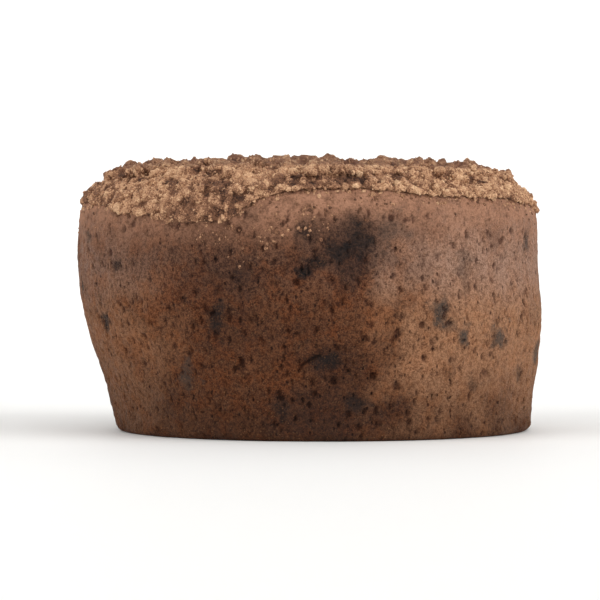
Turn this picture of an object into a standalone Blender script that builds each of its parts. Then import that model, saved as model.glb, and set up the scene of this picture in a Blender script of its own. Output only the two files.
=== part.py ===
"""A crumb coffee cake: a tall round cake that leans a little, under a ragged layer of streusel crumbs.

Metres, +Z up. The origin is the middle of the flat underside, and the front faces -Y.
"""

import math
import random

import bmesh
import bpy
from mathutils import Euler, Vector, noise

# The cake
FOOT_RADIUS = 0.0807  # of the underside, out to its small round edge
BELLY_RADIUS = 0.0890  # of the upper half
BELLY_HEIGHT = 0.0500  # where the side stops widening
SHOULDER_HEIGHT = 0.0800  # where the side starts to round over
CAKE_HEIGHT = 0.0940  # of the rim of the top, under the crumbs
SHOULDER_REACH = 0.0125  # how far in the shoulder goes
FOOT_EDGE = 0.0030  # radius of the edge round the underside
TOP_RISE = 0.0010  # of the middle of the top over its rim

# How it sits unevenly
LEAN = -0.0062  # the upper half lies this far to the left of the foot
LEAN_HEIGHT = 0.0700  # where the lean ends
TOP_SLOPE = 0.006  # the top falls this much for each metre to the right
SIDE_WAVE = 0.0024  # depth of the broad dents and swellings of the side
SIDE_WAVE_LENGTH = 0.0450
SIDE_WAVE_PLACE = Vector((3.1, 7.7, 1.9))  # in the noise that makes them
STILL_FOOT = 0.0120  # up to this height they fade out, so that the underside stays flat
STILL_MIDDLE = 0.0500  # and likewise inside this radius

# The crumb layer
GAP = 0.0003  # between the crumbs and the cake
LAYER_HEIGHT = 0.1000  # top of the layer, between its lumps
LAYER_RADIUS = 0.0780
LAYER_FOOT = 0.0760  # its underside lies inside the cake, which is then cut away
LAYER_EDGE = 0.0080  # radius of its upper edge
HANG_DEPTH = 0.0015  # how thick it is on the shoulder
HANG_WANDER = 0.0009  # how much its lower edge wanders up and down
HANG_START = 75  # degrees up the shoulder where it leaves the flat top
HANG_INSET = 0.0030  # how far its lower edge turns in, into the cake
HANG = (  # bearing and lowest height of the layer: lowest at the front left, guessed beyond 90 degrees
    (-168, 0.0905),
    (-150, 0.0838),
    (-134, 0.0848),
    (-118, 0.0900),
    (-90, 0.0880),
    (-64, 0.0865),
    (-45, 0.0822),
    (-31, 0.0788),
    (-20, 0.0788),
    (-10, 0.0876),
    (-4, 0.0910),
    (14, 0.0918),
    (30, 0.0898),
    (48, 0.0892),
    (75, 0.0880),
    (106, 0.0842),
    (122, 0.0846),
    (138, 0.0906),
    (158, 0.0890),
    (176, 0.0850),
)
TOP_RIPPLE = 0.0014  # depth of the hollows between its lumps
TOP_RIPPLE_LENGTH = 0.0110
TOP_LUMPS = 96
TOP_LUMP_RADIUS = (0.0056, 0.0086)
TOP_LUMP_STAND = (0.0026, 0.0042)  # a lump's top over the layer
TOP_LUMP_SPREAD = 0.0688  # radius of the round field that they fill
BANK_LUMPS = 44  # the lumps that overhang the rim
BANK_LUMP_RADIUS = (0.0046, 0.0070)
BANK_STAND = (-0.0016, 0.0010)
BANK_WANDER = (-0.0052, -0.0022)  # how far in or out of the layer's edge it lies
SKIRT_LUMPS = 54  # the smaller ones on the shoulder, all the way round
APRON_LUMPS = 26  # more of them where the layer hangs furthest
APRON_BEARING = (-66, -12)  # degrees, 0 at the front and growing to the right
HANGING_RADIUS = (0.0026, 0.0041)
HANGING_TOP = 0.0965  # the highest that one of them reaches
HANGING_RISE = 0.0040  # how far its top is over the layer's lower edge, at least
SHOULDER_SUNK = 0.0017  # how far the middle of a lump on the shoulder lies inside the cake
LUMP_FLATNESS = 0.75  # its height over its width
LUMP_ROUGHNESS = 0.42  # depth of its knobs, as a share of its radius
LUMP_KNOBS = 1.7  # how many knobs there are across its radius
LUMP_LENGTH = (1.0, 1.3)  # its longest side over the others
KEPT_FACES = 0.42  # share of the layer's faces left by the thinning

AROUND = 60  # faces round the turned shapes
SHOULDER_STEPS = 6  # points along each stretch of the cake's outline
SIDE_STEPS = 10
FOOT_STEPS = 3
LAYER_EDGE_STEPS = 4
HANG_STEPS = 5
GOLDEN_ANGLE = math.pi * (3 - math.sqrt(5))
SEED = 77  # some seeds break the cut against the cake, which check_closed finds

CRUST_COLOR = (0.130, 0.062, 0.036, 1.0)
CRUMB_COLOR = (0.330, 0.178, 0.100, 1.0)


def clear_scene():
    for obj in list(bpy.data.objects):
        bpy.data.objects.remove(obj, do_unlink=True)


def new_collection(name):
    collection = bpy.data.collections.new(name)
    bpy.context.scene.collection.children.link(collection)
    return collection


def new_material(name, color, roughness):
    material = bpy.data.materials.new(name)
    material.use_nodes = True
    shader = material.node_tree.nodes["Principled BSDF"]
    shader.inputs["Base Color"].default_value = color
    shader.inputs["Roughness"].default_value = roughness
    shader.inputs["Metallic"].default_value = 0.0
    return material


def new_object(name, mesh, collection):
    obj = bpy.data.objects.new(name, mesh)
    collection.objects.link(obj)
    return obj


def applied(obj):
    """Puts the shape that the modifiers make into the object's own mesh."""
    graph = bpy.context.evaluated_depsgraph_get()
    mesh = bpy.data.meshes.new_from_object(obj.evaluated_get(graph))
    obj.modifiers.clear()
    obj.data = mesh
    return obj


def eased(t):
    """0 to 1 with a soft start and end, for t from 0 to 1."""
    t = min(max(t, 0.0), 1.0)
    return t * t * (3 - 2 * t)


def side_radius(height):
    return FOOT_RADIUS + (BELLY_RADIUS - FOOT_RADIUS) * eased(height / BELLY_HEIGHT)


def around(out, angle, height):
    return Vector((out * math.cos(angle), out * math.sin(angle), height))


def front_angle(bearing):
    """The angle round the axis for a bearing in degrees, 0 at the front."""
    return math.radians(bearing - 90)


def bearing_of(angle):
    """The bearing in degrees, -180 to 180 with 0 at the front, for an angle round the axis."""
    return (math.degrees(angle) + 270) % 360 - 180


def turned(name, profile, collection):
    """A closed turned shape from (radius, height) points that run down its outer side, top to bottom."""
    mesh = bpy.data.meshes.new(name)
    points = [(radius, 0.0, height) for radius, height in profile]
    edges = [(i, i + 1) for i in range(len(points) - 1)]
    mesh.from_pydata(points, edges, [])
    obj = new_object(name, mesh, collection)
    screw = obj.modifiers.new("Turn", "SCREW")
    screw.axis = "Z"
    screw.steps = AROUND
    screw.render_steps = AROUND
    screw.use_merge_vertices = True
    screw.merge_threshold = 0.00001
    return applied(obj)


def cake_profile(grown=0.0):
    """The cake's outline, moved out by grown all over its side and top."""
    points = [(0.0, CAKE_HEIGHT + TOP_RISE + grown)]
    rim = BELLY_RADIUS - SHOULDER_REACH
    for share in (0.3, 0.6, 0.85):
        points.append((rim * share, CAKE_HEIGHT + TOP_RISE * (1 - share**2) + grown))
    for i in range(SHOULDER_STEPS + 1):
        angle = math.pi / 2 * (1 - i / SHOULDER_STEPS)
        radius = rim + (SHOULDER_REACH + grown) * math.cos(angle)
        height = SHOULDER_HEIGHT + (CAKE_HEIGHT - SHOULDER_HEIGHT + grown) * math.sin(angle)
        points.append((radius, height))
    for i in range(1, SIDE_STEPS):
        height = SHOULDER_HEIGHT + (FOOT_EDGE - SHOULDER_HEIGHT) * i / SIDE_STEPS
        points.append((side_radius(height) + grown, height))
    for i in range(FOOT_STEPS + 1):
        angle = math.pi / 2 * i / FOOT_STEPS
        inset = FOOT_EDGE * (1 - math.cos(angle))
        points.append((FOOT_RADIUS + grown - inset, FOOT_EDGE * (1 - math.sin(angle))))
    points.append((0.0, 0.0))
    return points


def settled(point):
    """Where a point of the evenly turned cake lies on the real one, with its lean, dents and sloping top."""
    x, y, z = point
    out = math.hypot(x, y)
    if out > 0 and z > 0:
        free = eased(z / STILL_FOOT) * eased(out / STILL_MIDDLE)
        wave = noise.noise(Vector((x, y, z)) / SIDE_WAVE_LENGTH + SIDE_WAVE_PLACE)
        factor = 1 + SIDE_WAVE * wave * free / out
        x *= factor
        y *= factor
    z -= TOP_SLOPE * x * eased(z / CAKE_HEIGHT)
    return Vector((x + LEAN * eased(z / LEAN_HEIGHT), y, z))


def settle(obj):
    for vertex in obj.data.vertices:
        vertex.co = settled(vertex.co)


def hang_height(angle):
    """The lowest height of the layer at an angle round the axis."""
    bearing = bearing_of(angle)
    first, last = HANG[0], HANG[-1]
    rows = [(last[0] - 360, last[1]), *HANG, (first[0] + 360, first[1])]
    height = first[1]
    for (start, low), (end, high) in zip(rows, rows[1:]):
        if start <= bearing <= end:
            height = low + (high - low) * eased((bearing - start) / (end - start))
    return height + HANG_WANDER * noise.noise(around(7.0, angle, 0.0))


def layer_profile(lowest):
    """The layer's outline where it hangs down to lowest: its top, its round edge, then the shoulder."""
    points = [(0.0, LAYER_HEIGHT)]
    rim = LAYER_RADIUS - LAYER_EDGE
    for share in (0.35, 0.7):
        points.append((rim * share, LAYER_HEIGHT))
    for i in range(LAYER_EDGE_STEPS + 1):
        angle = math.pi / 2 * (1 - 0.5 * i / LAYER_EDGE_STEPS)
        radius = rim + LAYER_EDGE * math.cos(angle)
        points.append((radius, LAYER_HEIGHT - LAYER_EDGE * (1 - math.sin(angle))))
    high = CAKE_HEIGHT - SHOULDER_HEIGHT + HANG_DEPTH
    start = math.radians(HANG_START)
    end = math.asin((lowest - SHOULDER_HEIGHT) / high)
    for i in range(HANG_STEPS + 1):
        angle = start + (end - start) * i / HANG_STEPS
        radius = BELLY_RADIUS - SHOULDER_REACH + (SHOULDER_REACH + HANG_DEPTH) * math.cos(angle)
        points.append((radius, SHOULDER_HEIGHT + high * math.sin(angle)))
    points.append((points[-1][0] - HANG_INSET, lowest - HANG_DEPTH / 2))
    points.append((rim, LAYER_FOOT))
    points.append((0.0, LAYER_FOOT))
    return points


def build_layer(name, collection):
    """The plain layer, its outline set afresh at each angle, as it doesn't hang equally far all round."""
    points = []
    for i in range(AROUND):
        angle = 2 * math.pi * i / AROUND
        outline = layer_profile(hang_height(angle))
        points.extend(around(out, angle, height) for out, height in outline[1:-1])
    rows = len(outline) - 2
    top = len(points)
    bottom = top + 1
    points.append(around(0.0, 0.0, outline[0][1]))
    points.append(around(0.0, 0.0, outline[-1][1]))
    faces = []
    for i in range(AROUND):
        here = i * rows
        beside = (i + 1) % AROUND * rows
        faces.append((top, here, beside))
        for k in range(rows - 1):
            faces.append((here + k, here + k + 1, beside + k + 1, beside + k))
        faces.append((bottom, beside + rows - 1, here + rows - 1))
    mesh = bpy.data.meshes.new(name)
    mesh.from_pydata(points, [], faces)
    return new_object(name, mesh, collection)


def ripple_top(obj):
    for vertex in obj.data.vertices:
        if vertex.co.z > CAKE_HEIGHT:
            vertex.co.z += TOP_RIPPLE * noise.noise(vertex.co / TOP_RIPPLE_LENGTH)


def lump(name, place, radius, draw, collection):
    """One crumb lump with its highest point at place: a flattened ball with a knobbly surface."""
    ball = bmesh.new()
    bmesh.ops.create_icosphere(ball, subdivisions=2, radius=1.0)
    turn = Euler([draw.uniform(0, 2 * math.pi) for _ in "xyz"]).to_matrix()
    shift = Vector([draw.uniform(-50, 50) for _ in "xyz"])
    long_side = draw.uniform(*LUMP_LENGTH)
    for vertex in ball.verts:
        knob = 1 + LUMP_ROUGHNESS * noise.noise(vertex.co * LUMP_KNOBS + shift)
        vertex.co.x *= long_side
        vertex.co = turn @ vertex.co * radius * knob
        vertex.co.z *= LUMP_FLATNESS
    top = max(vertex.co.z for vertex in ball.verts)
    bmesh.ops.translate(ball, verts=ball.verts, vec=place - Vector((0, 0, top)))
    mesh = bpy.data.meshes.new(name)
    ball.to_mesh(mesh)
    ball.free()
    return new_object(name, mesh, collection)


def shoulder_radius(height):
    """Radius of the evenly turned cake at a height on its shoulder."""
    up = (height - SHOULDER_HEIGHT) / (CAKE_HEIGHT - SHOULDER_HEIGHT)
    up = min(max(up, 0.0), 1.0)
    return BELLY_RADIUS - SHOULDER_REACH * (1 - math.sqrt(1 - up * up))


def hanging_lump(angle, draw):
    """(highest point, radius) of a lump on the shoulder, partly sunk into the layer that hangs there."""
    radius = draw.uniform(*HANGING_RADIUS)
    lowest_top = min(hang_height(angle) + HANGING_RISE, HANGING_TOP)
    top = draw.uniform(lowest_top, HANGING_TOP)
    return around(shoulder_radius(top - radius) - SHOULDER_SUNK, angle, top), radius


def lump_places(draw):
    """(highest point, radius) of every lump, on the evenly turned cake."""
    places = []
    for i in range(TOP_LUMPS):
        out = TOP_LUMP_SPREAD * math.sqrt((i + 0.5) / TOP_LUMPS)
        angle = i * GOLDEN_ANGLE + draw.uniform(-0.2, 0.2) * (1 - out / TOP_LUMP_SPREAD)
        top = LAYER_HEIGHT + draw.uniform(*TOP_LUMP_STAND)
        places.append((around(out, angle, top), draw.uniform(*TOP_LUMP_RADIUS)))
    for i in range(BANK_LUMPS):
        out = LAYER_RADIUS + draw.uniform(*BANK_WANDER)
        angle = 2 * math.pi * (i + draw.uniform(-0.35, 0.35)) / BANK_LUMPS
        top = LAYER_HEIGHT + draw.uniform(*BANK_STAND)
        places.append((around(out, angle, top), draw.uniform(*BANK_LUMP_RADIUS)))
    for i in range(SKIRT_LUMPS):
        angle = 2 * math.pi * (i + draw.uniform(-0.45, 0.45)) / SKIRT_LUMPS
        places.append(hanging_lump(angle, draw))
    for i in range(APRON_LUMPS):
        share = (i + draw.uniform(0.1, 0.9)) / APRON_LUMPS
        bearing = APRON_BEARING[0] + (APRON_BEARING[1] - APRON_BEARING[0]) * share
        places.append(hanging_lump(front_angle(bearing), draw))
    return places


def boolean(obj, operation, operand):
    modifier = obj.modifiers.new(operation.title(), "BOOLEAN")
    modifier.operation = operation
    modifier.solver = "MANIFOLD"
    if isinstance(operand, bpy.types.Collection):
        modifier.operand_type = "COLLECTION"
        modifier.collection = operand
    else:
        modifier.object = operand
    return applied(obj)


def thin(obj):
    """Lowers the number of faces where many small ones meet along the seams."""
    modifier = obj.modifiers.new("Thin", "DECIMATE")
    modifier.ratio = KEPT_FACES
    return applied(obj)


def keep_largest_piece(obj):
    """Drops the loose scraps that the cut leaves."""
    shape = bmesh.new()
    shape.from_mesh(obj.data)
    left = set(shape.verts)
    pieces = []
    while left:
        piece = set()
        front = [left.pop()]
        while front:
            vertex = front.pop()
            piece.add(vertex)
            for edge in vertex.link_edges:
                other = edge.other_vert(vertex)
                if other in left:
                    left.remove(other)
                    front.append(other)
        pieces.append(piece)
    pieces.sort(key=len)
    for piece in pieces[:-1]:
        bmesh.ops.delete(shape, geom=list(piece), context="VERTS")
    shape.to_mesh(obj.data)
    shape.free()


def check_closed(obj):
    """Stops the build where a cut has left the surface open, as some draws of the lumps do."""
    shape = bmesh.new()
    shape.from_mesh(obj.data)
    open_edges = sum(1 for edge in shape.edges if len(edge.link_faces) != 2)
    shape.free()
    if open_edges:
        raise RuntimeError(f"{obj.name} has {open_edges} open edges")


def build_cake_body(collection):
    body = turned("cake_body", cake_profile(), collection)
    settle(body)
    body.data.materials.append(new_material("cake_crust", CRUST_COLOR, 0.75))
    body.data.shade_smooth()
    return body


def build_crumb_topping(collection):
    draw = random.Random(SEED)
    topping = build_layer("crumb_topping", collection)
    ripple_top(topping)
    settle(topping)
    lumps = new_collection("lumps")
    for i, (place, radius) in enumerate(lump_places(draw)):
        lump(f"lump_{i:03d}", settled(place), radius, draw, lumps)
    boolean(topping, "UNION", lumps)
    thin(topping)
    for obj in list(lumps.objects):
        bpy.data.objects.remove(obj, do_unlink=True)
    bpy.data.collections.remove(lumps)
    room = turned("room_for_the_cake", cake_profile(grown=GAP), collection)
    settle(room)
    boolean(topping, "DIFFERENCE", room)
    bpy.data.objects.remove(room, do_unlink=True)
    keep_largest_piece(topping)
    check_closed(topping)
    topping.data.materials.clear()
    topping.data.materials.append(new_material("crumb_streusel", CRUMB_COLOR, 0.9))
    return topping


def build():
    clear_scene()
    cake = new_collection("crumb_coffee_cake")
    build_cake_body(cake)
    build_crumb_topping(cake)


build()
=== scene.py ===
"""The dressed crumb coffee cake: its porous crust, its layer of streusel crumbs, the light and the camera.

Metres, +Z up. The origin is the middle of the flat underside, and the front faces -Y.
"""

import math

import bmesh
import bpy
import numpy as np
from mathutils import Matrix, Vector, noise
from mathutils.bvhtree import BVHTree


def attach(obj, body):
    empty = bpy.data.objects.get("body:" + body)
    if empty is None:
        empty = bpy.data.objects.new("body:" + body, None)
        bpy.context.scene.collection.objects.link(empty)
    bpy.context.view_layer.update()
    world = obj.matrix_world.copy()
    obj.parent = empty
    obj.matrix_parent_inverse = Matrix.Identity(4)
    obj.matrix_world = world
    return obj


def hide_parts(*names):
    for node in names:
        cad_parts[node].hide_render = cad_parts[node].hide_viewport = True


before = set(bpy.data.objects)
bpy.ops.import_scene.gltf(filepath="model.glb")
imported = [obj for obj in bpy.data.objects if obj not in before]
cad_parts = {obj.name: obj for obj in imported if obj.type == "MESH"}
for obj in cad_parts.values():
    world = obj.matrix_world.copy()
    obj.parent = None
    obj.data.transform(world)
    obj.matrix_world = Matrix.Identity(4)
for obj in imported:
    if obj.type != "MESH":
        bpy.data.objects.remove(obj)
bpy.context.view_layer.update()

# The cake's form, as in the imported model
FOOT_RADIUS = 0.0807
BELLY_RADIUS = 0.0890
BELLY_HEIGHT = 0.0500
SHOULDER_HEIGHT = 0.0800
CAKE_HEIGHT = 0.0940
SHOULDER_REACH = 0.0125
FOOT_EDGE = 0.0030
TOP_RISE = 0.0010
LEAN = -0.0062  # how far the cake leans to the left, all of it reached at this height
LEAN_HEIGHT = 0.0700
TOP_SLOPE = 0.006  # down to the right
SIDE_WAVE = 0.0024  # the side's shallow dents, which fade out toward the foot and the middle
SIDE_WAVE_LENGTH = 0.0450
SIDE_WAVE_PLACE = (3.1, 7.7, 1.9)
STILL_FOOT = 0.0120
STILL_MIDDLE = 0.0500

# The crust's mesh
AROUND = 700
CRUST_STEP = 0.00080  # between rows on the side and the shoulder
HIDDEN_RADIUS = 0.0600  # the top is plain inside this radius, under the crumbs
HIDDEN_STEP = 0.0040

# The crust's relief
SWELL = ((0.00050, 0.0150), (0.00036, 0.0052), (0.00026, 0.0021))  # depth and length of its unevenness
PORES = 3600
PORE_RADIUS = (0.00045, 0.00110)
PORE_LENGTH = (1.0, 1.9)  # its height over its width
PORE_TILT = 0.45  # radians, as the spread of a normal draw
PORE_FLAT = 1.25  # above 1 its floor is flat
PORES_UP_TO = 0.083  # the shoulder above this height has none
PORE_DEPTH = 0.75  # over its radius
DEEP_PORES = 160
DEEP_PORE_RADIUS = (0.0009, 0.0017)
RELIEF_FROM = 0.0025  # the foot's lowest edge stays even, and the relief comes in over this height

# Places on the front of the crust: x, height, half width, half height and strength
FRUIT_STAINS = (
    (-0.0083, 0.0616, 0.0046, 0.0021, 1.00),
    (-0.0020, 0.0645, 0.0052, 0.0025, 0.80),
    (0.0050, 0.0685, 0.0057, 0.0046, 0.80),
    (0.0078, 0.0705, 0.0043, 0.0025, 1.00),
    (0.0128, 0.0728, 0.0058, 0.0062, 0.75),
    (-0.0076, 0.0758, 0.0039, 0.0029, 0.55),
    (-0.0290, 0.0619, 0.0060, 0.0080, 0.35),
    (-0.0395, 0.0440, 0.0032, 0.0072, 0.90),
    (-0.0030, 0.0298, 0.0052, 0.0034, 0.75),
    (0.0020, 0.0290, 0.0046, 0.0052, 0.95),
    (0.0108, 0.0140, 0.0048, 0.0036, 0.55),
    (-0.0166, 0.0123, 0.0040, 0.0036, 0.65),
    (0.0548, 0.0194, 0.0029, 0.0033, 0.55),
    (0.0511, 0.0619, 0.0029, 0.0080, 0.45),
)
JUICE_STAINS = (
    (-0.0509, 0.0237, 0.0033, 0.0055, 0.70),
    (0.0420, 0.0471, 0.0036, 0.0054, 1.00),
    (0.0503, 0.0383, 0.0022, 0.0036, 1.00),
    (0.0461, 0.0420, 0.0029, 0.0036, 0.50),
    (0.0240, 0.0770, 0.0060, 0.0050, 0.50),
)
DARK_AREAS = (
    (0.0000, 0.0098, 0.0230, 0.0125, 0.55),
    (0.0005, 0.0275, 0.0130, 0.0090, 0.50),
    (0.0106, 0.0137, 0.0056, 0.0046, 0.90),
    (-0.0334, 0.0530, 0.0150, 0.0170, 0.38),
    (0.0090, 0.0708, 0.0185, 0.0122, 0.87),
    (-0.0060, 0.0636, 0.0100, 0.0046, 0.55),
)
PALE_SECTORS = (  # middle bearing and half angle in degrees, height, half height and strength
    (70, 64, 0.0420, 0.0500, 1.00),
    (-74, 46, 0.0350, 0.0450, 0.50),
    (176, 30, 0.0470, 0.0400, 0.60),
)
SECTOR_EDGE = 27.0  # degrees over which they fade
FRONT_PITS = (
    (0.0028, 0.0221, 0.0015, 0.0019, 1.0),
    (0.0024, 0.0476, 0.0010, 0.0019, 1.0),
    (-0.0065, 0.0551, 0.0008, 0.0008, 0.7),
    (-0.0101, 0.0391, 0.0015, 0.0010, 0.9),
    (-0.0047, 0.0214, 0.0014, 0.0022, 0.6),
    (-0.0036, 0.0174, 0.0012, 0.0014, 1.0),
    (0.0082, 0.0257, 0.0010, 0.0009, 0.9),
    (0.0244, 0.0368, 0.0010, 0.0020, 0.8),
    (0.0387, 0.0359, 0.0010, 0.0018, 0.8),
    (0.0358, 0.0302, 0.0012, 0.0018, 1.0),
    (0.0256, 0.0198, 0.0013, 0.0022, 0.9),
    (0.0591, 0.0240, 0.0016, 0.0019, 0.8),
)
CRACK = ((-0.0094, 0.0257), (-0.0080, 0.0290), (-0.0018, 0.0312))  # start, bend and end of a fine crack
CRACK_WIDTH = 0.0006
CRACK_SHARE = 0.8  # how deep it goes, over a pit
SPOT_REACH = 1.25  # how far out a spot ends, over its size
SPOT_FADE = 0.9
STAIN_EDGE = 0.75  # how far noise moves a stain's edge, as a share of its size
STAIN_EDGE_LENGTH = 0.0042
AREA_EDGE_LENGTH = 0.0120  # the same for the dark areas and the pale sectors
BLOTCHES = (0.5, 0.0260)  # strength and length of the darker blotches on the whole side
BLOTCH_FADE = 0.012  # below the shoulder's lower end
MORE_STAINS = 30  # round the sides and the back
MORE_STAINS_FROM = 48  # degrees from the front, on either side
MORE_STAIN_SIZE = (0.0022, 0.0075)
MORE_STAIN_HEIGHTS = (0.012, 0.078)
PIT_DEPTH = 0.0011
STAIN_SUNK = 0.0004

# The crumbs
CRUMB_VOXEL = 0.00073
HIDDEN_KEPT = 0.08  # share of the faces kept on the mass's underside, which lies against the cake
TOUCHING = 0.0010  # what faces the cake from nearer than this is underside
FACING = 0.3  # how squarely
COBBLES = ((0.00070, 0.0046), (0.00042, 0.0023))  # stand and size of the clumps in the mass
COBBLE_REACH = 0.75  # from a clump's middle to its crease, over its size
TOP_LUMPS = (0.00120, 0.0105)  # stand and size of the larger lumps on the top
TOP_LUMPS_PAST = 0.006  # they end this far past the bank's inner edge
TOP_LUMPS_FADE = 0.008
CRUMBLE = ((0.00045, 0.0031), (0.00034, 0.0014))  # depth and length of the noise over them
GRAIN_KINDS = (  # name, how many, radius, round cuts, how far it sinks in, how much closer on the bank
    ("large_crumbs", 640, (0.00105, 0.00200), 2, 0.60, 4.5),
    ("small_crumbs", 9800, (0.00055, 0.00100), 1, 0.45, 1.8),
    ("fine_crumbs", 9900, (0.00034, 0.00060), 1, 0.30, 2.2),
)
BANK_FROM = 0.066  # outside this radius the crumbs are a steep bank, and inside it the top
CAVITIES = (  # hollows in the front of the bank, dug in and darkened with painted shade: x, height, half width, half height and strength
    (-0.0399, 0.0784, 0.0027, 0.0016, 1.0),
    (-0.0381, 0.0813, 0.0018, 0.0016, 0.8),
    (-0.0330, 0.0830, 0.0023, 0.0020, 1.0),
    (-0.0315, 0.0873, 0.0027, 0.0018, 1.0),
    (-0.0428, 0.0896, 0.0020, 0.0020, 1.0),
    (-0.0370, 0.0931, 0.0047, 0.0016, 0.9),
    (-0.0468, 0.0983, 0.0025, 0.0014, 0.8),
    (-0.0561, 0.0938, 0.0030, 0.0020, 0.7),
    (-0.0197, 0.0905, 0.0021, 0.0014, 0.8),
    (-0.0108, 0.0940, 0.0027, 0.0019, 1.0),
    (-0.0090, 0.0890, 0.0029, 0.0012, 0.8),
    (-0.0026, 0.0951, 0.0043, 0.0016, 0.8),
    (0.0089, 0.0949, 0.0079, 0.0024, 1.0),
    (0.0269, 0.0957, 0.0038, 0.0018, 0.7),
)
CRUMB_BROWN_AND_SHADE_SPOTS = (  # where the front of the bank is darker: browner crumbs in some, painted shade under the overhang in others
    (-0.0407, 0.0922, 0.0060, 0.0042, 0.60),
    (-0.0370, 0.0835, 0.0085, 0.0070, 0.52),
    (-0.0500, 0.0835, 0.0080, 0.0060, 0.45),
    (-0.0019, 0.0930, 0.0180, 0.0034, 0.46),
    (0.0099, 0.0938, 0.0080, 0.0034, 0.36),
    (-0.0168, 0.0883, 0.0045, 0.0028, 0.30),
)
BROWNER_SECTORS = (  # and where the bank is browner round the sides and the back: as the crust's pale sectors
    (-80, 34, 0.0900, 0.0140, 0.38),
    (152, 44, 0.0920, 0.0120, 0.30),
)
SHADE_EDGE_LENGTH = 0.0060
SHADE_LENGTH = 0.0026  # of the lighter and darker clumps in the browner and shaded parts of the bank
SHADE_SPREAD = 1.1
MORE_CAVITIES = 28  # round the rest of the bank
MORE_CAVITIES_FROM = 42  # degrees from the front, on either side
CAVITY_RADIUS = (0.0014, 0.0032)
CAVITY_OUT = (0.0770, 0.0800)  # how far from the cake's axis a hollow's middle lies
CAVITY_HEIGHTS = (0.0930, 0.0975)
CAVITY_EDGE_LENGTH = 0.0030
CAVITY_DEPTH = 0.0036
CAVITY_FLOOR = 0.0004  # what is left of the crumbs under a hollow
BANK_RELIEF = 1.30  # how high the clumps stand on the bank
TOP_RELIEF = 0.90  # and on the top
CREASE_PAINTED_SHADE = (0.6, 1.1)  # painted shade: how dark the creases between them are on the bank and on the top
TONE_LENGTH = 0.0035  # of the lighter and darker parts of the mass
BAKED_FROM = 0.0990  # above this height the oven has browned the crumbs
BAKED_OVER = 0.0024
BAKED_SIDEWAYS = 0.35  # what of that crumbs that face sideways take
BAKED_MIDDLE = 1.30  # between the darker and the lighter patches
BAKED_PATCHES = ((0.5, 0.0140), (0.6, 0.0038))  # strength and length
EDGE_CRUMBS = 1250  # where the bank meets the shoulder
EDGE_REACH = (0.0003, 0.0040)  # how far from the bank they lie
EDGE_RADIUS = (0.00040, 0.00130)
EDGE_SHADE = 0.30  # how much browner they are than the bank's crumbs
EDGE_CLUMP_LENGTH = 0.0055
LOOSE_CRUMBS = 200  # in the loose patches
LOOSE_PATCHES = (  # below the bank at the front: x, height, half width, half height and strength
    (-0.0360, 0.0752, 0.0130, 0.0060, 1.0),
    (-0.0060, 0.0790, 0.0140, 0.0050, 0.4),
    (-0.0300, 0.0690, 0.0110, 0.0070, 0.2),
    (0.0180, 0.0860, 0.0120, 0.0040, 0.4),
)
LOOSE_EDGE_LENGTH = 0.0080
STRAY_CRUMBS = 250  # on the shoulder and the upper side
STRAY_HEIGHTS = (0.060, 0.093)
STRAY_RADIUS = (0.00030, 0.00085)  # of the loose ones too
STRAY_SHADE = 0.55
FALLEN_CUTS = 2  # round cuts of all the crumbs below the bank, and how far they sink in
FALLEN_SINK = 0.45
GRAIN_SHAPES = 14
GRAIN_KNOBS = 0.55
GRAIN_KNOB_SIZE = 1.6  # how many knobs there are, over a grain's radius
GRAIN_SIDES = ((0.95, 1.25), (0.8, 1.0), (0.6, 0.9))  # a grain's three half lengths, over its radius
GRAIN_BAKED = (0.4, 1.0)  # how much of the oven's browning a grain takes

# The crust's look
FINE_GRAIN = 0.00055
COARSE_GRAIN = 0.0013
MOTTLES = 0.0040
RUST_PATCHES = 0.0080
BORDER_LENGTH = 0.0200  # noise that moves the borders between the heights below
BORDER_STAND = 0.010
SHOULDER_LOOK = (0.0700, 0.0930)  # the side turns into the shoulder between these heights
UPPER_LOOK = (0.0480, 0.0700)  # and is greyer from these up
FOOT_BROWN_AND_SHADE_HEIGHTS = (0.0440, 0.0000)  # and darker from these down: a browner foot with painted shade over it
FINE_HOLES = (0.0017, 0.34, 0.55, 1.7)  # how far apart, reach and chance, and height over width
SPECKS = (0.0010, 0.46, 0.70)

# Colours, linear
CRUST_DARK = (0.044, 0.0155, 0.0074, 1.0)
CRUST_LIGHT = (0.162, 0.0620, 0.0270, 1.0)
SHOULDER_DARK = (0.222, 0.107, 0.063, 1.0)
SHOULDER_LIGHT = (0.400, 0.204, 0.126, 1.0)
CRUST_SPECK = (0.320, 0.158, 0.076, 1.0)
PORE_SHADE = (0.30, 0.25, 0.27, 1.0)  # painted shade: what is left of the crust's colour in a pore
UPPER_TINT = (1.00, 1.17, 1.52, 1.0)  # the upper side is greyer than the lower one
RUST_TINT = (1.12, 0.92, 0.74, 1.0)  # and there are redder patches
CRUST_TAN = (0.190, 0.0850, 0.0430, 1.0)
CRUST_PALE = (0.390, 0.1980, 0.1060, 1.0)
# the foot's browner crust with painted shade
FOOT_BROWN_AND_SHADE_COLOR = (0.024, 0.0102, 0.0058, 1.0)
DARK_COLOR = (0.024, 0.0132, 0.0108, 1.0)
FRUIT_COLOR = (0.0118, 0.0100, 0.0098, 1.0)
JUICE_COLOR = (0.050, 0.0410, 0.0350, 1.0)
CRUMB_DEEP = (0.045, 0.0200, 0.0125, 1.0)
CRUMB_DARK = (0.200, 0.090, 0.0480, 1.0)
CRUMB_MIDDLE = (0.500, 0.272, 0.1500, 1.0)
CRUMB_PALE = (0.760, 0.490, 0.2900, 1.0)
CRUMB_BAKED = (0.140, 0.061, 0.0370, 1.0)
FLOOR_COLOR = (0.860, 0.855, 0.840, 1.0)
FLOOR_SHADE = 0.99  # how far its darker parts go

# The camera: level with the cake's middle, a little left of its axis
EYE = Vector((-0.0090, -1.0374, 0.0612))
LOOKS_AT = Vector((-0.0090, 0.0, 0.0503))
VIEW_WIDTH = 0.2340  # at the cake's axis
SENSOR = 36.0

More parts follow.
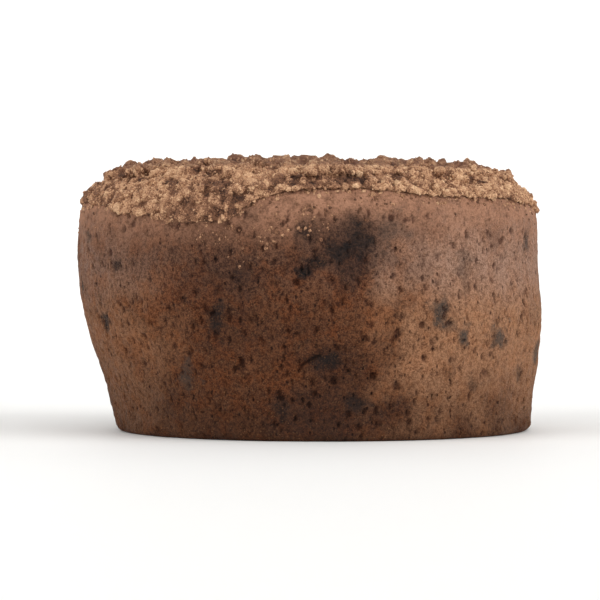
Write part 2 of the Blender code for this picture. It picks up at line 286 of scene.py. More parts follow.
# The light: an even pale surround and three wide softboxes
SURROUND = 0.42
SOFTBOXES = (  # name, direction that it shines from, degrees across, power
    ("right", (1.00, -0.52, 0.48), 55, 2.20),
    ("left", (-1.00, -0.52, 0.48), 50, 1.60),
    ("top", (0.05, -0.15, 1.00), 60, 0.70),
)

SEED = 41


def eased(t):
    """0 to 1 with a soft start and end, for t from 0 to 1."""
    t = np.clip(t, 0.0, 1.0)
    return t * t * (3 - 2 * t)


def noise_at(points, length, place=(0.0, 0.0, 0.0)):
    """Smooth noise from -1 to 1 at each point, with features of about that length."""
    shift = Vector(place)
    return np.array([noise.noise(Vector(point) / length + shift) for point in points])


def new_object(name, mesh):
    obj = bpy.data.objects.new(name, mesh)
    bpy.context.scene.collection.objects.link(obj)
    return obj


def applied(obj):
    """Puts the shape that the modifiers make into the object's own mesh."""
    graph = bpy.context.evaluated_depsgraph_get()
    mesh = bpy.data.meshes.new_from_object(obj.evaluated_get(graph))
    obj.modifiers.clear()
    obj.data = mesh
    return obj


def add_value(mesh, name, values):
    """Keeps one number for each vertex, for the material."""
    attribute = mesh.attributes.new(name, "FLOAT", "POINT")
    attribute.data.foreach_set("value", np.asarray(values, np.float32).ravel())


def side_radius(height):
    return FOOT_RADIUS + (BELLY_RADIUS - FOOT_RADIUS) * eased(height / BELLY_HEIGHT)


def settled(points):
    """Where points of the evenly turned cake lie on the real one, with its lean, dents and sloping top."""
    x, y, z = points[:, 0].copy(), points[:, 1].copy(), points[:, 2].copy()
    out = np.maximum(np.hypot(x, y), 1e-9)
    free = eased(z / STILL_FOOT) * eased(out / STILL_MIDDLE)
    wave = noise_at(points, SIDE_WAVE_LENGTH, SIDE_WAVE_PLACE)
    factor = 1 + SIDE_WAVE * wave * free / out
    x *= factor
    y *= factor
    z -= TOP_SLOPE * x * eased(z / CAKE_HEIGHT)
    return np.stack([x + LEAN * eased(z / LEAN_HEIGHT), y, z], axis=1)


def stretch(length, step):
    """Shares from 0 up to, but not with, 1, about step apart on a stretch of that length."""
    count = max(1, round(length / step))
    return np.arange(count) / count


def crust_outline():
    """(radius, height) of each row, from the underside's rim up the side and over the shoulder."""
    points = []
    flat = FOOT_RADIUS - FOOT_EDGE
    for share in stretch(HIDDEN_STEP * 2, HIDDEN_STEP):
        points.append((flat - HIDDEN_STEP * 2 * (1 - share), 0.0))
    for share in stretch(FOOT_EDGE * math.pi / 2, CRUST_STEP):
        angle = math.pi / 2 * share
        points.append((flat + FOOT_EDGE * math.sin(angle), FOOT_EDGE * (1 - math.cos(angle))))
    for share in stretch(SHOULDER_HEIGHT - FOOT_EDGE, CRUST_STEP):
        height = FOOT_EDGE + (SHOULDER_HEIGHT - FOOT_EDGE) * share
        points.append((side_radius(height), height))
    rim = BELLY_RADIUS - SHOULDER_REACH
    rise = CAKE_HEIGHT - SHOULDER_HEIGHT
    for share in stretch((SHOULDER_REACH + rise) / 2 * math.pi / 2, CRUST_STEP):
        angle = math.pi / 2 * share
        points.append((rim + SHOULDER_REACH * math.cos(angle), SHOULDER_HEIGHT + rise * math.sin(angle)))
    for share in list(stretch(rim - HIDDEN_RADIUS, HIDDEN_STEP)) + [1.0]:
        radius = rim + (HIDDEN_RADIUS - rim) * share
        points.append((radius, CAKE_HEIGHT + TOP_RISE * (1 - (radius / rim) ** 2)))
    return points


def grid_normals(grid):
    """The outward direction at each point of a closed grid of rows and columns."""
    across = np.roll(grid, -1, axis=1) - np.roll(grid, 1, axis=1)
    up = np.gradient(grid, axis=0)
    normals = np.cross(across, up)
    return normals / np.maximum(np.linalg.norm(normals, axis=2, keepdims=True), 1e-12)


def dig_pore(depth, place, half_width, half_height, tilt, deep):
    """Lowers the grid of depths in one oval pore."""
    row, column = place
    reach = int(math.ceil(max(half_width, half_height) / CRUST_STEP)) + 1
    rows = np.arange(max(row - reach, 0), min(row + reach + 1, depth.shape[0]))
    columns = np.arange(column - reach, column + reach + 1)
    up, across = np.meshgrid((rows - row) * CRUST_STEP, (columns - column) * CRUST_STEP, indexing="ij")
    along = across * math.cos(tilt) + up * math.sin(tilt)
    off = up * math.cos(tilt) - across * math.sin(tilt)
    inside = np.clip(PORE_FLAT * (1 - (along / half_width) ** 2 - (off / half_height) ** 2), 0, 1)
    window = np.ix_(rows, columns % depth.shape[1])
    depth[window] = np.maximum(depth[window], deep * eased(inside))


def crust_relief(grid, draw):
    """(how far each point of the crust sinks in, how much of that is pore from 0 to 1)."""
    rows, columns = grid.shape[:2]
    points = grid.reshape(-1, 3)
    sunk = np.zeros(rows * columns)
    for i, (deep, length) in enumerate(SWELL):
        sunk += deep * noise_at(points, length, (1.7 * i, 4.1, 8.3))
    sunk = sunk.reshape(rows, columns)
    pores = np.zeros((rows, columns))
    last = int(np.argmax(grid[:, 0, 2] > PORES_UP_TO))
    for radius_range, count in ((PORE_RADIUS, PORES), (DEEP_PORE_RADIUS, DEEP_PORES)):
        for _ in range(count):
            radius = radius_range[0] + (radius_range[1] - radius_range[0]) * draw.random() ** 2
            tall = draw.uniform(*PORE_LENGTH)
            place = (int(draw.integers(4, last)), int(draw.integers(0, columns)))
            tilt = draw.normal(0, PORE_TILT)
            dig_pore(pores, place, radius, radius * tall, tilt, radius * PORE_DEPTH)
    return sunk + pores, np.clip(pores / (PORE_RADIUS[1] * PORE_DEPTH), 0, 1)


def spot_fade(distance, wander):
    """1 in a spot's middle and 0 outside it, for a distance in sizes of the spot."""
    return eased((SPOT_REACH - distance * (1 + STAIN_EDGE * wander)) / SPOT_FADE)


def spot_share(points, spot, wander=0.0):
    """How far inside a spot on the front each point lies: 0 outside, its strength in the middle."""
    x, height, half_width, half_height, strength = spot
    distance = np.hypot((points[:, 0] - x) / half_width, (points[:, 2] - height) / half_height)
    return np.where(points[:, 1] < 0, strength * spot_fade(distance, wander), 0.0)


def spots_share(points, spots, wander=0.0):
    return np.max([spot_share(points, spot, wander) for spot in spots], axis=0)


def sector_share(points, sector, wander):
    """How far inside a sector of the side each point lies: 0 outside, its strength in the middle."""
    middle, half, height, half_height, strength = sector
    bearing = np.degrees(np.arctan2(points[:, 0] - LEAN / 2, -points[:, 1]))
    off = np.abs((bearing - middle + 180) % 360 - 180)
    across = eased((half - off + 0.5 * SECTOR_EDGE * wander) / SECTOR_EDGE)
    return strength * across * spot_fade(np.abs(points[:, 2] - height) / half_height, wander)


def ball_share(points, middle, radius, wander):
    """How far inside a round stain on any side each point lies, from 0 outside to 1 in its middle."""
    return spot_fade(np.linalg.norm(points - middle, axis=1) / radius, wander)


def crack_share(points):
    """1 in the fine crack on the front, and 0 away from it."""
    start, bend, end = (np.array(place) for place in CRACK)
    nearest = np.full(len(points), 1.0)
    for share in np.linspace(0, 1, 40):
        place = start * (1 - share) ** 2 + bend * 2 * share * (1 - share) + end * share**2
        nearest = np.minimum(nearest, np.hypot(points[:, 0] - place[0], points[:, 2] - place[1]))
    return np.where(points[:, 1] < 0, eased(1.5 - nearest / CRACK_WIDTH), 0.0)


def turned_point(bearing, radius, height):
    """A point of the evenly turned cake, its bearing 0 at the front and growing to the right."""
    return np.array([[radius * math.sin(bearing), -radius * math.cos(bearing), height]])


def bearings_round_the_back(first, count, draw):
    """That many bearings from first degrees on the right, round the back, to as far on the left."""
    for i in range(count):
        yield math.radians(first + (360 - 2 * first) * (i + draw.uniform(0.1, 0.9)) / count)


def crust_stains(points, draw):
    """(dark fruit stains, blue-grey juice stains) at each point, from 0 to 1."""
    wander = noise_at(points, STAIN_EDGE_LENGTH, (9.1, 2.2, 6.4))
    wander += 0.6 * noise_at(points, STAIN_EDGE_LENGTH / 3, (1.1, 7.2, 3.4))
    fruit = spots_share(points, FRUIT_STAINS, wander)
    juice = spots_share(points, JUICE_STAINS, wander)
    for i, bearing in enumerate(bearings_round_the_back(MORE_STAINS_FROM, MORE_STAINS, draw)):
        height = draw.uniform(*MORE_STAIN_HEIGHTS)
        middle = settled(turned_point(bearing, side_radius(height), height))
        size = MORE_STAIN_SIZE[0] + (MORE_STAIN_SIZE[1] - MORE_STAIN_SIZE[0]) * draw.random() ** 1.5
        share = ball_share(points, middle, size, wander) * draw.uniform(0.5, 1.0)
        if i % 3:
            fruit = np.maximum(fruit, share)
        else:
            juice = np.maximum(juice, share)
    return fruit, juice


def crust_areas(points):
    """(how dark, how pale) the crust is at each point, from 0 to 1."""
    wander = noise_at(points, AREA_EDGE_LENGTH, (2.7, 8.8, 0.4))
    strength, length = BLOTCHES
    below = eased((SHOULDER_HEIGHT - points[:, 2]) / BLOTCH_FADE)
    blotches = strength * eased(noise_at(points, length, (6.2, 1.1, 5.0))) * below
    dark = np.maximum(spots_share(points, DARK_AREAS, wander), blotches)
    pale = np.max([sector_share(points, sector, wander) for sector in PALE_SECTORS], axis=0)
    return dark, pale


def settled_grid(outline):
    """The outline turned round the axis, as a grid of rows and columns, and settled."""
    rows = len(outline)
    angles = np.arange(AROUND) * 2 * math.pi / AROUND
    radius, height = outline[:, 0][:, None], outline[:, 1][:, None]
    across, along = radius * np.cos(angles), radius * np.sin(angles)
    grid = np.stack([across, along, np.broadcast_to(height, (rows, AROUND))], axis=2)
    return settled(grid.reshape(-1, 3)).reshape(rows, AROUND, 3)


def closed_grid_faces(rows):
    """Four-sided faces between the rows, and one face that closes each end."""
    index = np.arange(rows * AROUND).reshape(rows, AROUND)
    lower, upper = index[:-1], index[1:]
    sides = np.stack([lower, np.roll(lower, -1, axis=1), np.roll(upper, -1, axis=1), upper], axis=2)
    return sides.reshape(-1, 4).tolist() + [index[0][::-1].tolist(), index[-1].tolist()]


def build_crust():
    draw = np.random.default_rng(SEED)
    outline = np.array(crust_outline())
    grid = settled_grid(outline)
    sunk, pores = crust_relief(grid, draw)
    flat = grid.reshape(-1, 3)
    fruit, juice = crust_stains(flat, draw)
    pits = np.maximum(spots_share(flat, FRONT_PITS), CRACK_SHARE * crack_share(flat)).reshape(pores.shape)
    sunk += PIT_DEPTH * pits + STAIN_SUNK * fruit.reshape(pores.shape)
    dark, pale = crust_areas(flat)
    free = eased(outline[:, 1] / RELIEF_FROM)[:, None]
    points = grid - grid_normals(grid) * (sunk * free)[:, :, None]
    mesh = bpy.data.meshes.new("cake_crust")
    mesh.from_pydata(points.reshape(-1, 3).tolist(), [], closed_grid_faces(len(outline)))
    mesh.shade_smooth()
    # where the material paints shade in the pores, the pits and the crack
    add_value(mesh, "pore", np.maximum(pores, pits))
    add_value(mesh, "fruit", fruit)
    add_value(mesh, "juice", juice)
    add_value(mesh, "dark", dark)
    add_value(mesh, "pale", pale)
    crust = new_object("cake_crust", mesh)
    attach(crust, "root")
    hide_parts("cake_body")
    return crust


def node_tree_of(name):
    """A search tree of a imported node's surface."""
    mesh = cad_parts[name].data
    faces = [list(face.vertices) for face in mesh.polygons]
    return BVHTree.FromPolygons([vertex.co for vertex in mesh.vertices], faces)


def against(tree, points, normals):
    """True for each point that faces the searched surface from close by."""
    touching = np.zeros(len(points), bool)
    for i, (point, normal) in enumerate(zip(points, normals)):
        near, _, _, distance = tree.find_nearest(Vector(point), TOUCHING)
        if near is not None:
            touching[i] = (near - Vector(point)).dot(Vector(normal)) > FACING * distance
    return touching


def crumb_mass(cake):
    """The body of the crumb layer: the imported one, finely cut where it is seen."""
    mass = new_object("crumb_mass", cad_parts["crumb_topping"].data.copy())
    remesh = mass.modifiers.new("Remesh", "REMESH")
    remesh.mode = "VOXEL"
    remesh.voxel_size = CRUMB_VOXEL
    remesh.use_smooth_shade = True
    applied(mass)
    hidden = against(cake, *vertex_arrays(mass.data))
    group = mass.vertex_groups.new(name="hidden")
    group.add(np.nonzero(hidden)[0].tolist(), 1.0, "REPLACE")
    thin = mass.modifiers.new("Thin", "DECIMATE")
    thin.vertex_group = "hidden"
    thin.vertex_group_factor = 1000.0
    thin.ratio = 1 - float(hidden.mean()) * (1 - HIDDEN_KEPT)
    return applied(mass)


def vertex_arrays(mesh):
    """(places, outward directions) of the mesh's vertices."""
    count = len(mesh.vertices)
    places, normals = np.empty(count * 3), np.empty(count * 3)
    mesh.vertices.foreach_get("co", places)
    mesh.vertices.foreach_get("normal", normals)
    return places.reshape(-1, 3), normals.reshape(-1, 3)


def cobbles_at(points, length):
    """Round-topped cobbles with creases between them, from -1 in a crease to 1 on a top."""
    nearest = [noise.voronoi(Vector(point) / length)[0][0] for point in points]
    return 1 - 2 * np.clip(np.array(nearest) / COBBLE_REACH, 0, 1) ** 2


def baked_share(points, normals):
    """How brown the oven has made the crumbs there: most on the tops of the layer."""
    high = eased((points[:, 2] - BAKED_FROM) / BAKED_OVER)
    up = BAKED_SIDEWAYS + (1 - BAKED_SIDEWAYS) * eased(normals[:, 2])
    patchy = BAKED_MIDDLE
    for (strength, length), place in zip(BAKED_PATCHES, ((5.5, 0.3, 2.2), (1.5, 9.3, 4.2))):
        patchy += strength * noise_at(points, length, place)
    return np.clip(high * up * patchy, 0, 1)


def cavity_places(draw):
    """The middle and radius of each hollow round the sides and the back of the bank."""
    places = []
    for bearing in bearings_round_the_back(MORE_CAVITIES_FROM, MORE_CAVITIES, draw):
        radius = draw.uniform(*CAVITY_RADIUS)
        out, height = draw.uniform(*CAVITY_OUT), draw.uniform(*CAVITY_HEIGHTS)
        places.append((settled(turned_point(bearing, out, height)), radius))
    return places


def on_bank(points):
    """True for each point that lies outside the top, on the bank."""
    return np.hypot(points[:, 0] - LEAN, points[:, 1]) > BANK_FROM


def cavity_share(points, places):
    """How far inside a hollow of the bank each point lies, from 0 outside to 1."""
    wander = noise_at(points, CAVITY_EDGE_LENGTH, (4.4, 0.9, 2.1))
    share = spots_share(points, CAVITIES, wander) * on_bank(points)
    for middle, radius in places:
        share = np.maximum(share, ball_share(points, middle, radius, wander))
    return share


def hollow_depth(cake, points, hollow):
    """How far in each point of a hollow goes: no further than the crumbs are thick there."""
    depth = CAVITY_DEPTH * hollow
    for i in np.nonzero(hollow > 0.01)[0]:
        room = cake.find_nearest(Vector(points[i]))[3] - CAVITY_FLOOR
        depth[i] = min(depth[i], max(room, 0.0))
    return depth


def shade_at(points, cavities):
    """How much darker the crumbs are at each point: painted shade in the hollows and under the overhang,
    and browner crumbs elsewhere on the bank.
    """
    wander = noise_at(points, SHADE_EDGE_LENGTH, (8.4, 3.9, 1.1))
    # browner crumbs in some spots, painted shade under the overhang in others
    browner_and_shaded = spots_share(points, CRUMB_BROWN_AND_SHADE_SPOTS, wander)
    for sector in BROWNER_SECTORS:
        browner_and_shaded = np.maximum(browner_and_shaded, sector_share(points, sector, wander))
    browner_and_shaded *= 1 + SHADE_SPREAD * noise_at(points, SHADE_LENGTH, (2.2, 5.7, 0.8))
    # painted shade in the hollows, and the bank's browner and shaded spots
    return np.maximum(cavity_share(points, cavities), browner_and_shaded)


def clump_relief(points):
    """(how far each point of the mass stands out, how deep in a crease it is from 0 to 1)."""
    stand = np.zeros(len(points))
    for high, length in COBBLES:
        stand += high * cobbles_at(points, length)
    stand *= np.where(on_bank(points), BANK_RELIEF, TOP_RELIEF)
    out = np.hypot(points[:, 0] - LEAN, points[:, 1])
    high, length = TOP_LUMPS
    lumps = np.maximum(cobbles_at(points, length), -0.6)
    stand += high * lumps * eased((BANK_FROM + TOP_LUMPS_PAST - out) / TOP_LUMPS_FADE)
    crease = np.clip(-stand / COBBLES[0][0], 0, 1)
    for deep, length in CRUMBLE:
        stand += deep * noise_at(points, length, (3.3, 1.9, 7.4))
    return stand, crease


def build_crumb_mass(cake, cavities):
    mass = crumb_mass(cake)
    points, normals = vertex_arrays(mass.data)
    seen = ~against(cake, points, normals)
    stand, crease = clump_relief(points)
    hollow = cavity_share(points, cavities) * seen
    points = points + normals * (stand * seen)[:, None]
    out = np.hypot(points[:, 0], points[:, 1])[:, None]
    points[:, :2] *= 1 - hollow_depth(cake, points, hollow)[:, None] / np.maximum(out, 1e-9)
    mass.data.vertices.foreach_set("co", points.ravel())
    mass.data.update()
    points, normals = vertex_arrays(mass.data)
    # painted shade darkens the tone in the creases between the clumps
    tone = 0.50 + 0.5 * noise_at(points, TONE_LENGTH) - crease * np.where(on_bank(points), *CREASE_PAINTED_SHADE)
    # painted shade of the hollows and under the overhang, and the browner parts, lower it further
    add_value(mass.data, "tone", tone - shade_at(points, cavities))
    add_value(mass.data, "baked", baked_share(points, normals))
    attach(mass, "root")
    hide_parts("crumb_topping")
    return mass


def grain_shape(cuts, shift):
    """(points, triangles) of one knobbly grain of radius 1."""
    ball = bmesh.new()
    bmesh.ops.create_icosphere(ball, subdivisions=cuts, radius=1.0)
    points = []
    for vertex in ball.verts:
        knob = noise.noise(vertex.co * GRAIN_KNOB_SIZE + Vector(shift))
        points.append(vertex.co * (1 + GRAIN_KNOBS * knob))
    triangles = np.array([[vertex.index for vertex in face.verts] for face in ball.faces])
    ball.free()
    return np.array(points), triangles


def random_turns(draw, count):
    """That many random rotation matrices."""
    w, x, y, z = draw.normal(size=(count, 4)).T
    length = np.sqrt(w * w + x * x + y * y + z * z)
    w, x, y, z = w / length, x / length, y / length, z / length
    rows = [
        [1 - 2 * (y * y + z * z), 2 * (x * y - z * w), 2 * (x * z + y * w)],
        [2 * (x * y + z * w), 1 - 2 * (x * x + z * z), 2 * (y * z - x * w)],
        [2 * (x * z - y * w), 2 * (y * z + x * w), 1 - 2 * (x * x + y * y)],
    ]
    return np.array(rows).transpose(2, 0, 1)


def seen_triangles(surface, cake):
    """(corners, outward direction, area) of each triangle of the crumb mass that doesn't face the cake."""
    mesh = surface.data
    mesh.calc_loop_triangles()
    corners = np.empty(len(mesh.loop_triangles) * 3, np.int64)
    mesh.loop_triangles.foreach_get("vertices", corners)
    points, _ = vertex_arrays(mesh)
    triangles = points[corners.reshape(-1, 3)]
    cross = np.cross(triangles[:, 1] - triangles[:, 0], triangles[:, 2] - triangles[:, 0])
    area = np.linalg.norm(cross, axis=1)
    normals = cross / np.maximum(area, 1e-15)[:, None]
    seen = ~against(cake, triangles.mean(axis=1), normals)
    return triangles[seen], normals[seen], area[seen]


def scattered(triangles, normals, area, count, closer, draw):
    """(places, outward directions) of that many points, evenly spread but that much closer on the bank."""
    out = np.hypot(triangles[:, 0, 0], triangles[:, 0, 1])
    weight = area * np.where(out > BANK_FROM, closer, 1.0)
    chosen = drawn_places(weight, count, draw)
    first, second = draw.random(count), draw.random(count)
    over = first + second > 1
    first[over], second[over] = 1 - first[over], 1 - second[over]
    picked = triangles[chosen]
    places = (
        picked[:, 0]
        + (picked[:, 1] - picked[:, 0]) * first[:, None]
        + (picked[:, 2] - picked[:, 0]) * second[:, None]
    )
    return places, normals[chosen]


def build_grains(name, places, normals, radii, shade, cuts, sink, draw):
    """One mesh of loose grains, each partly sunk into what it lies on."""
    count = len(places)
    centres = places - normals * (radii * sink)[:, None]
    turns = random_turns(draw, count)
    scale = radii[:, None] * np.stack([draw.uniform(*side, count) for side in GRAIN_SIDES], axis=1)
    # shade lowers a grain's tone: painted shade in the bank's hollows and under its overhang, and browner
    # crumbs
    tone = draw.random(count) - shade
    baked = baked_share(places, normals) * draw.uniform(*GRAIN_BAKED, count)
    which = draw.integers(0, GRAIN_SHAPES, count)
    all_points, all_triangles, all_tones, all_baked = [], [], [], []
    start = 0
    for kind in range(GRAIN_SHAPES):
        points, triangles = grain_shape(cuts, draw.uniform(-50, 50, 3))
        own = which == kind
        placed = np.einsum("nij,nkj->nki", turns[own], points[None] * scale[own][:, None, :])
        placed += centres[own][:, None, :]
        number, corners = placed.shape[:2]
        all_points.append(placed.reshape(-1, 3))
        offsets = start + np.arange(number) * corners
        all_triangles.append((triangles[None] + offsets[:, None, None]).reshape(-1, 3))
        all_tones.append(np.repeat(tone[own], corners))
        all_baked.append(np.repeat(baked[own], corners))
        start += number * corners
    mesh = triangle_mesh(name, np.concatenate(all_points), np.concatenate(all_triangles))
    if cuts > 1:
        mesh.shade_smooth()
    else:
        mesh.shade_flat()
    add_value(mesh, "tone", np.concatenate(all_tones))
    add_value(mesh, "baked", np.concatenate(all_baked))
    grains = new_object(name, mesh)
    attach(grains, "root")
    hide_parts("crumb_topping")
    return grains


def triangle_mesh(name, points, triangles):
    mesh = bpy.data.meshes.new(name)
    mesh.vertices.add(len(points))
    mesh.vertices.foreach_set("co", points.ravel())
    mesh.loops.add(triangles.size)
    mesh.loops.foreach_set("vertex_index", triangles.ravel().astype(np.int32))
    mesh.polygons.add(len(triangles))
    mesh.polygons.foreach_set("loop_start", np.arange(0, triangles.size, 3, dtype=np.int32))
    mesh.update(calc_edges=True)
    return mesh


def grain_radii(radius_range, count, draw):
    return radius_range[0] + (radius_range[1] - radius_range[0]) * draw.random(count) ** 1.6


def drawn_places(weight, count, draw):
    """That many indices, each drawn as often as its weight says."""
    return draw.choice(len(weight), size=count, p=weight / weight.sum())


def fallen_places(crust, draw):
    """(places, outward directions) of the crumbs along the bank's foot and of those strewn below it."""
    points, normals = vertex_arrays(crust.data)
    bank = node_tree_of("crumb_topping")
    gaps = np.full(len(points), np.inf)
    for i in np.nonzero(points[:, 2] > SHOULDER_HEIGHT)[0]:
        gaps[i] = bank.find_nearest(Vector(points[i]))[3]
    near, far = EDGE_REACH
    free = gaps >= near
    low, high = STRAY_HEIGHTS
    up = np.clip((points[:, 2] - low) / (high - low), 0, 1)
    strewn = drawn_places(np.where(free & (points[:, 2] < high), up**3, 0.0), STRAY_CRUMBS, draw)
    wander = noise_at(points, LOOSE_EDGE_LENGTH, (1.9, 7.7, 3.2))
    loose = drawn_places(free * spots_share(points, LOOSE_PATCHES, wander), LOOSE_CRUMBS, draw)
    edge = np.nonzero((gaps > near) & (gaps < far))[0]
    clumped = eased(0.5 + 1.4 * noise_at(points[edge], EDGE_CLUMP_LENGTH, (0.7, 6.1, 2.9)))
    close = 1 - (gaps[edge] - near) / (far - near)
    along = edge[drawn_places((0.25 + clumped) * close**2, EDGE_CRUMBS, draw)]
    chosen = np.concatenate([along, strewn, loose])
    return points[chosen], normals[chosen]


def build_crumbs(crust):
    draw = np.random.default_rng(SEED + 1)
    cake = node_tree_of("cake_body")
    cavities = cavity_places(draw)
    mass = build_crumb_mass(cake, cavities)
    pieces = [mass]
    surface = seen_triangles(mass, cake)
    for name, count, radius_range, cuts, sink, closer in GRAIN_KINDS:
        places, normals = scattered(*surface, count, closer, draw)
        radii = grain_radii(radius_range, count, draw)
        shade = shade_at(places, cavities)
        pieces.append(build_grains(name, places, normals, radii, shade, cuts, sink, draw))
    places, normals = fallen_places(crust, draw)
    along = grain_radii(EDGE_RADIUS, EDGE_CRUMBS, draw)
    radii = np.concatenate([along, grain_radii(STRAY_RADIUS, STRAY_CRUMBS + LOOSE_CRUMBS, draw)])
    shade = np.where(np.arange(len(places)) < EDGE_CRUMBS, EDGE_SHADE, STRAY_SHADE)
    fallen = build_grains("fallen_crumbs", places, normals, radii, shade, FALLEN_CUTS, FALLEN_SINK, draw)
    return pieces + [fallen]


def new_material(name):
    material = bpy.data.materials.new(name)
    material.use_nodes = True
    return material, material.node_tree


def add_node(tree, kind, inputs=None, **settings):
    node = tree.nodes.new(kind)
    for key, value in settings.items():
        setattr(node, key, value)
    for key, value in (inputs or {}).items():
        if isinstance(value, bpy.types.NodeSocket):
            tree.links.new(value, node.inputs[key])
        else:
            node.inputs[key].default_value = value
    return node


def own_place(tree):
    return add_node(tree, "ShaderNodeTexCoord").outputs["Object"]


def grainy(tree, length, roughness=0.6):
    """Noise from 0 to 1 with features of about that length."""
    inputs = {"Vector": own_place(tree), "Scale": 1 / length, "Detail": 3.0, "Roughness": roughness}
    return add_node(tree, "ShaderNodeTexNoise", inputs).outputs["Fac"]


def kept_value(tree, name):
    return add_node(tree, "ShaderNodeAttribute", attribute_name=name).outputs["Fac"]


def mapped(tree, value, low, high, to_low=0.0, to_high=1.0):
    inputs = {"Value": value, "From Min": low, "From Max": high, "To Min": to_low, "To Max": to_high}
    return add_node(tree, "ShaderNodeMapRange", inputs, interpolation_type="SMOOTHSTEP").outputs["Result"]


def maths(tree, operation, first, second):
    return add_node(tree, "ShaderNodeMath", {0: first, 1: second}, operation=operation).outputs["Value"]


def product(tree, first, second):
    return maths(tree, "MULTIPLY", first, second)


def blended(tree, first, second, share):
    """Two values added, the second one with that share and the first with the rest."""
    return maths(tree, "ADD", product(tree, first, 1 - share), product(tree, second, share))


def mixed(tree, share, first, second, blend="MIX"):
    """One colour turning into another as share goes from 0 to 1."""
    node = tree.nodes.new("ShaderNodeMix")
    node.data_type = "RGBA"
    node.blend_type = blend
    for socket, value in ((node.inputs[0], share), (node.inputs[6], first), (node.inputs[7], second)):
        if isinstance(value, bpy.types.NodeSocket):
            tree.links.new(value, socket)
        else:
            socket.default_value = value
    return node.outputs[2]


def bumped(tree, height, distance, before=None):
    inputs = {"Height": height, "Distance": distance, "Strength": 1.0}
    if before is not None:
        inputs["Normal"] = before
    return add_node(tree, "ShaderNodeBump", inputs).outputs["Normal"]


def dots(tree, apart, reach, chance, upright=1.0):
    """Up to 1 in the middle of some of the cells about that far apart, and 0 past reach of a cell."""
    stretched = {0: own_place(tree), 1: (1.0, 1.0, 1 / upright)}
    place = add_node(tree, "ShaderNodeVectorMath", stretched, operation="MULTIPLY").outputs["Vector"]
    inputs = {"Vector": place, "Scale": 1 / apart, "Randomness": 1.0}
    cells = add_node(tree, "ShaderNodeTexVoronoi", inputs)
    pick = add_node(tree, "ShaderNodeSeparateColor", {"Color": cells.outputs["Color"]}).outputs["Red"]
    spot = mapped(tree, cells.outputs["Distance"], reach, 0.3 * reach)
    return product(tree, spot, mapped(tree, pick, 1 - chance, 1.0))


def height_of(tree):
    return add_node(tree, "ShaderNodeSeparateXYZ", {"Vector": own_place(tree)}).outputs["Z"]


def crust_ground(tree, texture, wandering):
    """The side's colour without its marks: pale or rusty in places, greyer above, and browner with painted
    shade at the foot.
    """
    ground = mapped(tree, texture, 0.38, 0.61)
    pale = kept_value(tree, "pale")
    color = mixed(tree, ground, CRUST_DARK, CRUST_LIGHT)
    color = mixed(tree, pale, color, mixed(tree, ground, CRUST_TAN, CRUST_PALE))
    rusty = mapped(tree, grainy(tree, RUST_PATCHES), 0.45, 0.62, 0.0, 0.75)
    rusty = product(tree, rusty, mapped(tree, pale, 0.0, 1.0, 1.0, 0.3))
    color = mixed(tree, rusty, color, RUST_TINT, "MULTIPLY")
    color = mixed(tree, mapped(tree, wandering, *UPPER_LOOK), color, UPPER_TINT, "MULTIPLY")
    # darker toward the foot: browner crust and painted shade
    return mixed(tree, mapped(tree, wandering, *FOOT_BROWN_AND_SHADE_HEIGHTS, 0.0, 0.50), color, FOOT_BROWN_AND_SHADE_COLOR)


def crust_marks(tree, color, texture, specks, holes):
    """The colour with its dark areas, stains and pale specks, and with painted shade in its pores and fine
    holes.
    """
    covering = mapped(tree, texture, 0.38, 0.62, 1.0, 0.72)
    for name, stain in (("dark", DARK_COLOR), ("juice", JUICE_COLOR), ("fruit", FRUIT_COLOR)):
        color = mixed(tree, product(tree, kept_value(tree, name), covering), color, stain)
    dim = mapped(tree, kept_value(tree, "dark"), 0.0, 1.0, 0.55, 0.10)
    color = mixed(tree, product(tree, specks, dim), color, CRUST_SPECK)
    # painted shade in the pores, the pits and the crack, and in the fine holes
    pores = mapped(tree, kept_value(tree, "pore"), 0.0, 1.0, 0.0, 0.85)
    color = mixed(tree, pores, color, PORE_SHADE, "MULTIPLY")
    return mixed(tree, holes, color, PORE_SHADE, "MULTIPLY")


def crust_material():
    material, tree = new_material("baked_crust")
    shader = tree.nodes["Principled BSDF"]
    fine = grainy(tree, FINE_GRAIN, 0.7)
    coarse = grainy(tree, COARSE_GRAIN, 0.65)
    middling = grainy(tree, MOTTLES)
    texture = blended(tree, fine, coarse, 0.45)
    moved = product(tree, grainy(tree, BORDER_LENGTH), BORDER_STAND)
    wandering = maths(tree, "ADD", height_of(tree), moved)
    upper = mapped(tree, wandering, *SHOULDER_LOOK)
    mottled = mapped(tree, blended(tree, texture, middling, 0.3), 0.36, 0.59)
    shoulder = mixed(tree, mottled, SHOULDER_DARK, SHOULDER_LIGHT)
    patchy = product(tree, upper, mapped(tree, middling, 0.3, 0.6, 0.7, 1.0))
    color = mixed(tree, patchy, crust_ground(tree, texture, wandering), shoulder)
    below = maths(tree, "SUBTRACT", 1.0, upper)
    holes = product(tree, dots(tree, *FINE_HOLES), below)
    specks = product(tree, dots(tree, *SPECKS), mapped(tree, fine, 0.35, 0.60))
    tree.links.new(crust_marks(tree, color, texture, specks, holes), shader.inputs["Base Color"])
    tree.links.new(mapped(tree, middling, 0.3, 0.7, 0.66, 0.90), shader.inputs["Roughness"])
    shader.inputs["Specular IOR Level"].default_value = 0.10
    normal = bumped(tree, fine, 0.00050)
    normal = bumped(tree, coarse, 0.0009, normal)
    normal = bumped(tree, specks, 0.0002, normal)
    normal = bumped(tree, mapped(tree, holes, 0.0, 1.0, 1.0, 0.0), 0.0005, normal)
    tree.links.new(normal, shader.inputs["Normal"])
    return material


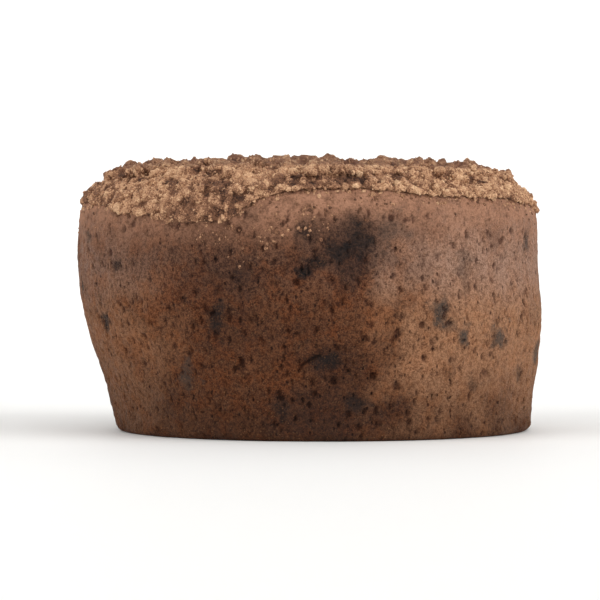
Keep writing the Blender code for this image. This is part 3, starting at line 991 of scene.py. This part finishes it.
def crumb_material():
    material, tree = new_material("streusel")
    shader = tree.nodes["Principled BSDF"]
    fine = grainy(tree, 0.0005, 0.7)
    middling = grainy(tree, 0.0030)
    tone = maths(tree, "ADD", kept_value(tree, "tone"), mapped(tree, fine, 0.3, 0.7, -0.42, 0.42))
    # the lowest tones, most of them painted shade in creases and hollows, turn to CRUMB_DEEP
    color = mixed(tree, mapped(tree, tone, -0.9, 0.05), CRUMB_DEEP, CRUMB_DARK)
    color = mixed(tree, mapped(tree, tone, 0.0, 0.5), color, CRUMB_MIDDLE)
    color = mixed(tree, mapped(tree, tone, 0.5, 1.1), color, CRUMB_PALE)
    baked = product(tree, kept_value(tree, "baked"), mapped(tree, middling, 0.3, 0.65, 0.475, 0.95))
    color = mixed(tree, baked, color, CRUMB_BAKED)
    tree.links.new(color, shader.inputs["Base Color"])
    tree.links.new(mapped(tree, fine, 0.3, 0.7, 0.72, 0.95), shader.inputs["Roughness"])
    shader.inputs["Specular IOR Level"].default_value = 0.25
    normal = bumped(tree, fine, 0.00040)
    normal = bumped(tree, grainy(tree, 0.0012, 0.7), 0.00060, normal)
    tree.links.new(normal, shader.inputs["Normal"])
    return material


def floor_material():
    material, tree = new_material("pale_floor")
    shader = tree.nodes["Principled BSDF"]
    darker = [part * FLOOR_SHADE for part in FLOOR_COLOR[:3]] + [1.0]
    color = mixed(tree, grainy(tree, 0.4), FLOOR_COLOR, darker)
    tree.links.new(color, shader.inputs["Base Color"])
    shader.inputs["Roughness"].default_value = 0.6
    return material


def paint(obj, material):
    obj.data.materials.clear()
    obj.data.materials.append(material)


def build_floor():
    """A pale floor that curves up behind the cake."""
    front, back, bend, side, high, steps = -6.0, 2.2, 1.2, 6.0, 5.0, 16
    outline = [(front, 0.0), (back, 0.0)]
    for i in range(1, steps + 1):
        angle = math.pi / 2 * i / steps
        outline.append((back + bend * math.sin(angle), bend * (1 - math.cos(angle))))
    outline.append((back + bend, high))
    points = [(x, y, z) for y, z in outline for x in (-side, side)]
    faces = [(2 * i, 2 * i + 1, 2 * i + 3, 2 * i + 2) for i in range(len(outline) - 1)]
    mesh = bpy.data.meshes.new("floor")
    mesh.from_pydata(points, [], faces)
    mesh.shade_smooth()
    floor = new_object("floor", mesh)
    paint(floor, floor_material())


def add_softbox(name, direction, spread, power):
    """A far, wide light that shines from that direction, spread over that many degrees."""
    lamp = bpy.data.lights.new(name, "SUN")
    lamp.angle = math.radians(spread)
    lamp.energy = power
    obj = new_object(name, lamp)
    obj.location = Vector(direction).normalized() * 2.0
    obj.rotation_euler = (-Vector(direction)).to_track_quat("-Z", "Y").to_euler()


def build_light():
    world = bpy.data.worlds.new("studio")
    world.use_nodes = True
    background = world.node_tree.nodes["Background"]
    background.inputs["Color"].default_value = (1.0, 1.0, 1.0, 1.0)
    background.inputs["Strength"].default_value = SURROUND
    bpy.context.scene.world = world
    for name, direction, spread, power in SOFTBOXES:
        add_softbox(name, direction, spread, power)
    bpy.context.scene.view_settings.view_transform = "Standard"


def build_camera():
    data = bpy.data.cameras.new("camera")
    data.sensor_width = SENSOR
    data.lens = SENSOR * (EYE - LOOKS_AT).length / VIEW_WIDTH
    data.clip_start = 0.01
    camera = new_object("camera", data)
    camera.location = EYE
    camera.rotation_euler = (LOOKS_AT - EYE).to_track_quat("-Z", "Y").to_euler()
    bpy.context.scene.camera = camera


def build_scene():
    crust = build_crust()
    paint(crust, crust_material())
    streusel = crumb_material()
    for piece in build_crumbs(crust):
        paint(piece, streusel)
    build_floor()
    build_light()
    build_camera()


build_scene()
